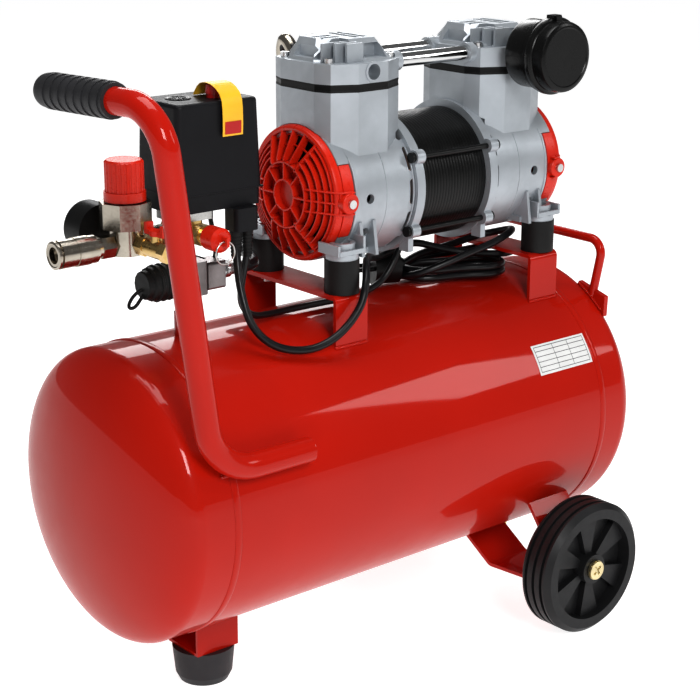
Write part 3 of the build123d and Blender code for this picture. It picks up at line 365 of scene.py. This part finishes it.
CORD_R, LEAD_R = 4, 3.5
CORD_ROUTE = [
    (-160, -29, 484), (-160, -29, 460), (-168, -46, 426), (-166, -60, 392), (-146, -74, 370),
    (-110, -84, 363), (-78, -90, 374), (-50, -90, 398), (-38, -84, 420), (-24, -67, 434), (-6, -48, 436),
    (15, -29, 429), (38, -10, 421), (62, 3, 418), (88, 9, 422), (114, 10, 423), (138, 7, 415),
]
HANK_MID = (156, -5)
HANK = [(160, 1, 408), (183, -15, 404)]
HANK += hank_turn((178, 2), 134, 24, -8, 402, 1, 12, -0.4)
HANK += hank_turn(HANK_MID, 119, 24, -21, 396, -7, 12, -0.2)
HANK += hank_turn(HANK_MID, 119, 24, -21, 387, -7, 14, -0.1)
HANK += [
    (98, 17, 386), (93, 3, 389), (97, -11, 393), (110, -22, 399), (132, -31, 407), (156, -38, 415),
    (182, -42, 421), (203, -42, 427), (220, -36, 430), (230, -20, 426), (229, -1, 420), (214, 12, 416),
    (190, 17, 411), (164, 19, 408), (138, 21, 406), (118, 21, 402), (101, 17.6, 398),
]
mains = tube("mains_lead", CORD_ROUTE + HANK, CORD_R, CABLE, round_steps=6, path_steps=10)
LEAD_ROUTE = [
    (-146, -29, 484), (-146, -29, 458), (-150, -24, 430), (-148, -18, 404), (-130, -13, 387),
    (-104, -9, 384), (-72, -8, 384), (-38, -9, 384), (-4, -12, 384), (30, -14, 388), (57, -14, 403),
    (72, -14, 434),
]
lead = tube("motor_cable", LEAD_ROUTE, LEAD_R, CABLE, round_steps=6, path_steps=10)
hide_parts("mains_cord", "cord_hank")
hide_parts("motor_lead")

# --- Fan covers: domed grilles, radial above and below the hub, arcs on both sides ---
PUMP = (96, 0, 503)
DOME_FLAT_R, DOME_RIM_R = 38, 67.5
COVER_RIM, COVER_END = 160, 174


def dome_at(radius):
    """Distance of the dome's surface from the pump's middle."""
    if radius <= DOME_FLAT_R:
        return COVER_END
    return COVER_END - (radius - DOME_FLAT_R) / (DOME_RIM_R - DOME_FLAT_R) * (COVER_END - COVER_RIM)


def vane(bm, side, angle, inner, outer, thick, depth):
    """A radial wall under the dome's surface; the angle starts at the near side and rises."""
    middle = max(inner, min(outer, DOME_FLAT_R))
    spots = [(dome_at(inner) - depth, inner), (dome_at(inner), inner), (dome_at(middle), middle),
             (dome_at(outer), outer), (dome_at(outer) - depth, outer)]
    out = Vector((0, -cos(angle), sin(angle)))
    sideways = Vector((0, sin(angle), cos(angle))) * thick
    start = Vector(PUMP) - sideways / 2
    add_prism(bm, [start + out * radius + Vector((side * d, 0, 0)) for d, radius in spots], sideways)


def thin_wall(top, depth, radius, half=0.9):
    """The profile of a ring-shaped wall, `depth` deep below `top` and twice `half` thick."""
    inner, outer, floor = radius - half, radius + half, top - depth
    return [(floor, inner), (top, inner), (top, outer), (floor, outer)]


def add_arc(bm, profile, side, middle, half, steps):
    """Turn a profile about the shaft through an arc, `half` degrees to each side of its middle."""
    add_lathe(bm, profile, PUMP, (side, 0, 0), steps, radians(middle - half), radians(2 * half))


def fan_cover(side):
    name = ENDS[side]
    bm = bmesh.new()
    axis = (side, 0, 0)
    rim = [(152.5, 66.6), (152.5, 70.2), (157, 70.2), (160, 68.8), (161.2, 66.6), (160.4, 64), (156, 63.4),
           (156, 66.6)]
    add_lathe(bm, rim, PUMP, axis, 96)
    for middle in (0, 180):
        for radius in (42, 49, 56, 62.5):
            add_arc(bm, thin_wall(dome_at(radius), 8, radius), side, middle, 57, 30)
        add_arc(bm, [(139, 66.6), (139, 71.4), (152.4, 71.4), (152.4, 66.6)], side, middle, 31, 24)
    for middle in (90, 270):
        for turn in (-33, -16.5, 0, 16.5, 33):
            edge = abs(turn) == 33
            vane(bm, side, radians(middle + turn), 31 if edge else 35, 66, 2.6 if edge else 1.9, 10)
        for radius in (50, 60):
            add_arc(bm, thin_wall(dome_at(radius) - 7, 2, radius), side, middle, 33, 16)
    add_lathe(bm, thin_wall(COVER_END, 14, 33.6, 1), PUMP, axis, 64)
    add_lathe(bm, [(161, ON_AXIS), (163, ON_AXIS), (163, 33), (161, 33)], PUMP, axis, 64)
    add_lathe(bm, thin_wall(COVER_END, 12, 15.6, 1), PUMP, axis, 48)
    add_lathe(bm, [(163, ON_AXIS), (167, ON_AXIS), (167, 14.8), (163, 14.8)], PUMP, axis, 48)
    for angle in (90, 270, 0, 45, 135, 180, 225, 315):
        vane(bm, side, radians(angle), 16, 33, 1.9, 11)
    rib = [(164, 34), (174.5, 34), (162.5, 66), (157, 72.4), (147, 77), (143, 77), (143, 71), (156, 67)]
    for sy in FLANKS:
        for rise in (-11, 0, 11):
            points = [Vector(PUMP) + Vector((side * d, sy * y, rise - 0.9)) for d, y in rib]
            add_prism(bm, points, (0, 0, 1.8))
        ear = Vector(PUMP) + Vector((side * 149, sy * 66.5, 0))
        add_lathe(bm, [(0, 2.8), (0, 10.6), (10.4, 10.6), (11.4, 9.6), (11.4, 2.8)], ear, (0, sy, 0), 40)
        low = (min(side * 149, side * 158), min(sy * 66.6, sy * 71.5), -10.6)
        high = (max(side * 149, side * 158), max(sy * 66.6, sy * 71.5), 10.6)
        add_box(bm, Vector(low) + Vector(PUMP), Vector(high) + Vector(PUMP))
    piece(f"fan_cover_{name}_grille", bm, RED_PLASTIC, bevel=0.45,
          stands_for=[f"fan_cover_{name}"])
    collar = bmesh.new()
    ring = [(137.8, 66.2), (137.8, 70.9), (151.4, 70.9), (152, 70.2), (152, 66.2)]
    for middle in (90, 270):
        add_arc(collar, ring, side, middle, 58.4, 60)
    piece(f"crankcase_collar_{name}", collar, CAST)


for side in ENDS:
    fan_cover(side)

# --- Crankcases: cast bands round the barrel and flange, and ribs round each foot ---
FOOT_Y, FOOT_LOW = 62, 451
for side, foot_x in ((-1, -52), (1, 232)):
    bm = bmesh.new()
    for start, end, radius in ((58.2, 60.4, 72.2), (95, 96.2, 71.7), (134.5, 137.6, 72)):
        band = [(start, radius - 2), (start, radius - 0.5), (start + 0.6, radius), (end - 0.6, radius),
                (end, radius - 0.5), (end, radius - 2)]
        for middle in (0, 180):
            add_arc(bm, band, side, middle, 38, 24)
    for sy in FLANKS:
        for sx in (-1, 1):
            rib_x, top = foot_x + sx * 16.5, 468 if sx == -side else 462
            add_box(bm, (rib_x - 1.5, sy * FOOT_Y - 16, FOOT_LOW), (rib_x + 1.5, sy * FOOT_Y + 16, top))
        wall = sy * 77.5
        add_box(bm, (foot_x - 16, wall - 1.2, FOOT_LOW), (foot_x + 16, wall + 1.2, FOOT_LOW + 5))
    piece(f"crankcase_ridges_{ENDS[side]}", bm, CAST, bevel=0.6)

# --- Stator: the edges of its laminations ---
bm = bmesh.new()
for step in range(22):
    at = -44 + step * 4.1
    ring = [(at, 67.6), (at, 68.25), (at + 0.4, 68.4), (at + 3.3, 68.4), (at + 3.7, 68.25), (at + 3.7, 67.6)]
    add_lathe(bm, ring, PUMP, (1, 0, 0), 96)
piece("stator_laminations", bm, BLACK_STEEL)

# --- Pressure switch: blank round plate, seam, knob cap and a blank hang tag ---
PLATE_MID = (-199, 8)
bm = bmesh.new()
plate = [(0, ON_AXIS), (0.5, ON_AXIS), (0.5, 10.4), (0.9, 11), (0.9, 12.4), (0, 13)]
add_lathe(bm, plate, (*PLATE_MID, 611.9), (0, 0, 1), 64, up=(0, 1, 0))
for turn in range(8):
    angle = radians(turn * 45)
    out = Vector((cos(angle), sin(angle), 0))
    spot = Vector((*PLATE_MID, 612.3)) + out * 3
    cross = Vector((-sin(angle), cos(angle), 0)) * 0.8
    add_prism(bm, [spot - cross, spot + cross, spot + cross + out * 6, spot - cross + out * 6], (0, 0, 0.5))
piece("switch_plate", bm, GLOSS_BLACK)
bm = bmesh.new()
SEAM_LOW, SEAM_TOP = 523.6, 525.2
for (x0, y0), (x1, y1) in (((-228.2, -31.3), (-126.8, -30.2)), ((-228.3, -31.2), (-227.2, 41.2)),
                           ((-127.9, -31.2), (-126.8, 41.2)), ((-228.2, 40.2), (-126.8, 41.3))):
    add_box(bm, (x0, y0, SEAM_LOW), (x1, y1, SEAM_TOP))
piece("switch_seam", bm, SWITCH_BLACK, bevel=0.3)
bm = bmesh.new()
cap = [(0, ON_AXIS), (8.5, ON_AXIS), (8.5, 5.4), (9, 6.4), (8.6, 7.9), (2, 8.6), (0, 8.6)]
add_lathe(bm, cap, (-166, -5, 616), (0, 0, 1), 48, up=(0, 1, 0))
piece("switch_knob_cap", bm, SWITCH_RED, body="switch_knob")


def strip(name, spine, middle_x, width, thick, skin, body):
    """A flat strip, `width` wide along X, that follows a spine of (y, z) points."""
    bm = bmesh.new()
    sides = []
    for index, (y, z) in enumerate(spine):
        before, after = spine[max(0, index - 1)], spine[min(len(spine) - 1, index + 1)]
        run = Vector((0, after[0] - before[0], after[1] - before[1])).normalized()
        normal = Vector((0, -run.z, run.y)) * thick
        base = Vector((middle_x, y, z))
        sides.append([bm.verts.new(base + Vector((sx * width / 2, 0, 0)) + normal * layer)
                      for sx, layer in ((-1, 0), (1, 0), (1, 1), (-1, 1))])
    for one, two in zip(sides, sides[1:]):
        for index in range(4):
            after = (index + 1) % 4
            bm.faces.new((one[index], one[after], two[after], two[index]))
    bm.faces.new(sides[0])
    bm.faces.new(sides[-1])
    piece(name, bm, skin, body)


TAG_X = -164
TAG_SPINE = [
    (16, 612.9), (13, 617), (9, 622), (4, 625.6), (-2, 627), (-8, 627.2), (-15, 626), (-22, 623),
    (-28, 618.5), (-31.6, 612), (-32.6, 604), (-32.9, 594), (-32.7, 584), (-32.2, 578),
]
TAG_END = [(-33.5, 592), (-33.4, 586), (-33.0, 580)]
strip("hang_tag", TAG_SPINE, TAG_X, 24, 0.5, TAG_YELLOW, body="switch_knob")
strip("hang_tag_end", TAG_END, TAG_X, 19, 0.3, TAG_RED, body="switch_knob")

# --- Label: a blank rating plate with table rules, on the near flank of the tank ---
TANK_R, TANK_Z = 150, 229


def flank_sheet(bm, x0, x1, z0, z1, proud, steps=8):
    """A thin sheet that lies on the tank's near flank, `proud` of its surface."""
    for step in range(steps):
        low_z, high_z = z0 + (z1 - z0) * step / steps, z0 + (z1 - z0) * (step + 1) / steps
        corners = []
        for x, z in ((x0, low_z), (x1, low_z), (x1, high_z), (x0, high_z)):
            corners.append((x, -sqrt((TANK_R + proud) ** 2 - (z - TANK_Z) ** 2), z))
        bm.faces.new([bm.verts.new(c) for c in corners])


RULE_HALF, RULE_PROUD = 0.25, 0.5
bm = bmesh.new()
flank_sheet(bm, 168, 250, 293, 322, 0.35)
piece("rating_plate", bm, LABEL_WHITE)
bm = bmesh.new()
for z in (296, 301, 306, 311, 316, 320):
    flank_sheet(bm, 171, 247, z - RULE_HALF, z + RULE_HALF, RULE_PROUD, 1)
for x in (171, 199, 222, 247):
    flank_sheet(bm, x - RULE_HALF, x + RULE_HALF, 296, 320, RULE_PROUD, 6)
piece("rating_plate_rules", bm, LABEL_INK)

# --- Air filter: neck, ribbed case and its clip ---
FILTER_X = 199
bm = bmesh.new()
neck = [(50, 5), (50, 7.9), (58.3, 7.9), (58.3, 11), (70, 11), (70, 5)]
add_lathe(bm, neck, (FILTER_X, 0, 628), (0, -1, 0), 48)
shell = [
    (69, 4), (69, 32), (70.5, 35), (73, 36), (97.5, 36), (98.2, 38.6), (103.2, 38.6), (103.6, 40),
    (104.8, 40.5), (108.8, 40.5), (110, 39.6), (110.4, 38), (111.5, 37), (121, 37), (124.4, 36), (126, 33.5),
    (126, 31), (125.2, 30), (124.8, ON_AXIS), (121, ON_AXIS), (121, 32), (73, 32), (73, 4),
]
add_lathe(bm, shell, (FILTER_X, 0, 632), (0, -1, 0), 96)
add_box(bm, (FILTER_X - 6, -111, 670), (FILTER_X + 6, -101, 674.5))
add_box(bm, (FILTER_X - 4, -113.5, 664), (FILTER_X + 4, -110, 673.5))
piece("air_filter_case", bm, GLOSS_BLACK, stands_for=["air_filter"])

# --- Quick coupler: knurled band and rounded nose ---
COUPLER_Z, TEETH = 482, 60
bm = bmesh.new()
for start in (-313, -320.4):
    outline = []
    for step in range(2 * TEETH):
        angle = tau * step / (2 * TEETH)
        radius = 14.2 if step % 2 else 13.9
        outline.append((start, radius * cos(angle), COUPLER_Z + radius * sin(angle)))
    add_prism(bm, outline, (-6.4, 0, 0))
piece("coupler_knurl", bm, NICKEL, body="coupler_sleeve", smooth=20)
bm = bmesh.new()
nose = [(0, 8.2), (0, 13.4), (1, 13.5), (2.2, 12.8), (2.6, 11.4), (1.6, 10.2), (1.4, 8.2)]
add_lathe(bm, nose, (-346.2, 0, COUPLER_Z), (-1, 0, 0), 64)
piece("coupler_nose", bm, NICKEL)

# --- Dust cap with its moulded loop ---
PORT_Z = 437
bm = bmesh.new()
ribbed = [
    (0, 10.4), (0, 16), (1, 17), (3, 17), (3.6, 18.8), (6.2, 19), (6.8, 17.4), (10, 17.4), (10.6, 18.8),
    (13.4, 19), (14, 17.4), (17.4, 17.4), (18, 18.6), (20.8, 18.8), (21.4, 17), (26, 17), (27, 16),
    (28, 14.4), (33, 14.2), (34, 13.2), (34, ON_AXIS), (24, ON_AXIS), (24, 10.4),
]
add_lathe(bm, ribbed, (-218, 0, PORT_Z), (-1, 0, 0), 14)
piece("dust_cap_moulding", bm, RUBBER, body="dust_cap", stands_for=["dust_cap"], bevel=0.5,
      smooth=30)
LOOP = [
    (-248, 0, 434), (-254, 2, 432), (-261, 3, 427), (-267, 2, 420), (-268, -2, 417), (-262, -3, 418),
    (-255, -2, 425), (-248, 0, 430),
]
tube("dust_cap_loop", LOOP, 1.7, RUBBER, body="dust_cap")

# --- Hose clamp, elbow on the front head and unloader tube ---
bm = bmesh.new()
add_lathe(bm, [(0, 6), (0, 7.6), (0.8, 8), (8.2, 8), (9, 7.6), (9, 6)], (-158, 0, PORT_Z), (1, 0, 0), 48)
add_box(bm, (-156.5, -6, 443), (-151, 4, 449))
piece("hose_clamp", bm, ZINC, bevel=0.4)
ELBOW = [
    (-7, 58, 628), (-7, 66, 628.5), (-7, 75, 639), (-7, 84, 647.5), (-4, 93, 642), (-2, 97, 630),
    (1, 97, 612),
]
tube("head_elbow", ELBOW, 7.2, NICKEL)
bm = bmesh.new()
corners = [(-7 + 10.4 * cos(tau * k / 6), 58.4, 628 + 10.4 * sin(tau * k / 6)) for k in range(6)]
add_prism(bm, corners, (0, 7, 0))
piece("head_elbow_nut", bm, NICKEL, bevel=0.6)
UNLOADER = [
    (-200, 14, 452), (-192, 12, 456), (-180, 6, 452), (-168, 2, 446), (-160, 4, 452), (-158, 10, 470),
    (-160, 14, 490), (-162, 14, 508),
]
tube("unloader_tube", UNLOADER, 2.4, CABLE)

# --- Ribbed strain reliefs where the two cords leave the switch ---
bm = bmesh.new()
for x, inner in ((-160, 4.1), (-146, 3.6)):
    sleeve = [(0, inner), (0, inner + 2.6)]
    for step in range(7):
        along = 3 + step * 3.6
        outer = inner + 2.3 - step * 0.2
        sleeve += [(along, outer), (along + 1.8, outer), (along + 2.1, outer - 0.7),
                   (along + 3.4, outer - 0.7)]
    sleeve += [(28.6, inner + 0.5), (28.6, inner)]
    add_lathe(bm, sleeve, (x, -29, 484.2), (0, 0, -1), 32, up=(0, 1, 0))
piece("gland_sleeves", bm, RUBBER)

# --- End plug of the push handle, and the frame's weld beads ---
bm = bmesh.new()
plug = [(0, ON_AXIS), (0, 12.3), (1.4, 12.2), (2.4, 10.6), (2.8, ON_AXIS)]
add_lathe(bm, plug, (-167.2, -150, 291.5), (1, 0, 0), 48)
piece("handle_end", bm, RED_PAINT)


def bead(name, points, radius):
    """A weld bead: a line of overlapping ripples."""
    bm = bmesh.new()
    path = []
    for start, end in zip(points, points[1:]):
        count = max(1, int((Vector(end) - Vector(start)).length / 2.1))
        path += [Vector(start).lerp(Vector(end), step / count) for step in range(count)]
    for spot in path:
        bmesh.ops.create_icosphere(bm, subdivisions=2, radius=radius, matrix=Matrix.Translation(spot))
    to_metres(bm)
    made = to_object(name, bm, RED_PAINT)
    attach(made, "root")


for sy, flank in FLANKS.items():
    for start_x, end in ((-73, "front"), (206, "rear")):
        edge = [(start_x + step * 2, sy * 78.6, 357.5) for step in range(22)]
        bead(f"bracket_weld_{end}_{flank}", edge, 1.9)
    bead(f"carry_weld_{flank}", [(296, sy * 70, 361.5), (296, sy * 88, 350), (296, sy * 104, 337)], 1.8)
bead("handle_weld", [(x, -139.5, 283.5) for x in range(-262, -170, 10)], 2.4)

# --- Axle bolts: a raised plate on each head, cut through with a cross ---
AXLE_X, AXLE_Z = 204, 75
CROSS_LONG, CROSS_SHORT = 6.2, 1.3
PLATE_R, PLATE_STEPS, PLATE_THICK = 10.6, 48, 1.6
bm = bmesh.new()
for out in FLANKS:
    rim = [(AXLE_X + PLATE_R * cos(tau * k / PLATE_STEPS), AXLE_Z + PLATE_R * sin(tau * k / PLATE_STEPS))
           for k in range(PLATE_STEPS)]
    cross = []
    for a, b in ((1, 1), (-1, 1), (-1, -1), (1, -1)):
        arm = [(a * CROSS_LONG, b * CROSS_SHORT), (a * CROSS_SHORT, b * CROSS_SHORT),
               (a * CROSS_SHORT, b * CROSS_LONG)]
        cross += arm if a == b else arm[::-1]
    tilted = [(AXLE_X + 0.8 * a - 0.6 * b, AXLE_Z + 0.6 * a + 0.8 * b) for a, b in cross]
    edges = []
    for outline in (rim, tilted):
        verts = [bm.verts.new((x, out * 196.4, z)) for x, z in outline]
        edges += [bm.edges.new((verts[k - 1], verts[k])) for k in range(len(verts))]
    filled = bmesh.ops.triangle_fill(bm, use_beauty=True, edges=edges)["geom"]
    flat = [face for face in filled if isinstance(face, bmesh.types.BMFace)]
    raised = bmesh.ops.extrude_face_region(bm, geom=flat)["geom"]
    for vert in (part for part in raised if isinstance(part, bmesh.types.BMVert)):
        vert.co.y += out * PLATE_THICK
piece("axle_bolt_crosses", bm, YELLOW_ZINC, bevel=0.45)

# --- Softened edges on the CAD pieces ---
EDGES = {
    1.6: "crankcase_front crankcase_rear",
    1.0: "cylinder_head_front cylinder_head_rear pump_bracket_front pump_bracket_rear wheel_bracket "
         "foot_bracket",
    0.8: "switch_base wheel_near wheel_far check_valve rubber_mounts carry_handle regulator_body",
    0.5: "m8_bolts axle_bolts manifold_cross ball_valve_body ball_valve_lever coupler_body coupler_sleeve "
         "safety_valve_body drain_valve_body drain_valve_tap head_gaskets valve_plates through_bolts "
         "m5_screws regulator_knob safety_valve_cap handle_grip gauge_case mains_plug",
}
for width, names in EDGES.items():
    for node in names.split():
        round_edges(NODES[node], width)

# --- Studio ---
def plain_mesh(name, verts, faces):
    mesh = bpy.data.meshes.new(name)
    mesh.from_pydata(verts, [], faces)
    return in_scene(name, mesh)


FLOOR_REACH = 30
corners = [(sx * FLOOR_REACH, sy * FLOOR_REACH, 0) for sx, sy in ((-1, -1), (1, -1), (1, 1), (-1, 1))]
floor = plain_mesh("floor", corners, [(0, 1, 2, 3)])
paper, _, paper_shader = nodes_of("floor")
paper_shader.inputs["Base Color"].default_value = (0.5, 0.5, 0.5, 1)
paper_shader.inputs["Roughness"].default_value = 0.7
paper_shader.inputs["Emission Color"].default_value = (1, 1, 1, 1)
paper_shader.inputs["Emission Strength"].default_value = 0.82
floor.data.materials.append(paper)


def softbox(name, at, to, size, watts):
    data = bpy.data.lights.new(name, "AREA")
    data.shape = "RECTANGLE"
    data.size, data.size_y = size
    data.energy = watts
    light = in_scene(name, data)
    light.location = at
    light.rotation_mode = "QUATERNION"
    light.rotation_quaternion = (Vector(to) - Vector(at)).to_track_quat("-Z", "Y")


softbox("key", (-0.9, -2.3, 1.8), (0.05, 0, 0.35), (0.7, 0.9), 38)
softbox("side", (1.9, -1.7, 1.6), (0, 0, 0.3), (0.5, 0.9), 8)
softbox("top", (0.0, 0.1, 2.6), (0, 0, 0.3), (1.6, 1.2), 34)
softbox("back", (1.4, 2.0, 1.6), (0, 0, 0.4), (1.2, 0.8), 16)
world = bpy.data.worlds.new("studio")
SCENE.world = world
world.use_nodes = True
world.node_tree.nodes["Background"].inputs["Color"].default_value = (1, 1, 1, 1)
world.node_tree.nodes["Background"].inputs["Strength"].default_value = 0.17
SCENE.view_settings.view_transform = "Standard"
SCENE.view_settings.gamma = 0.82
SCENE.view_settings.exposure = 0.12
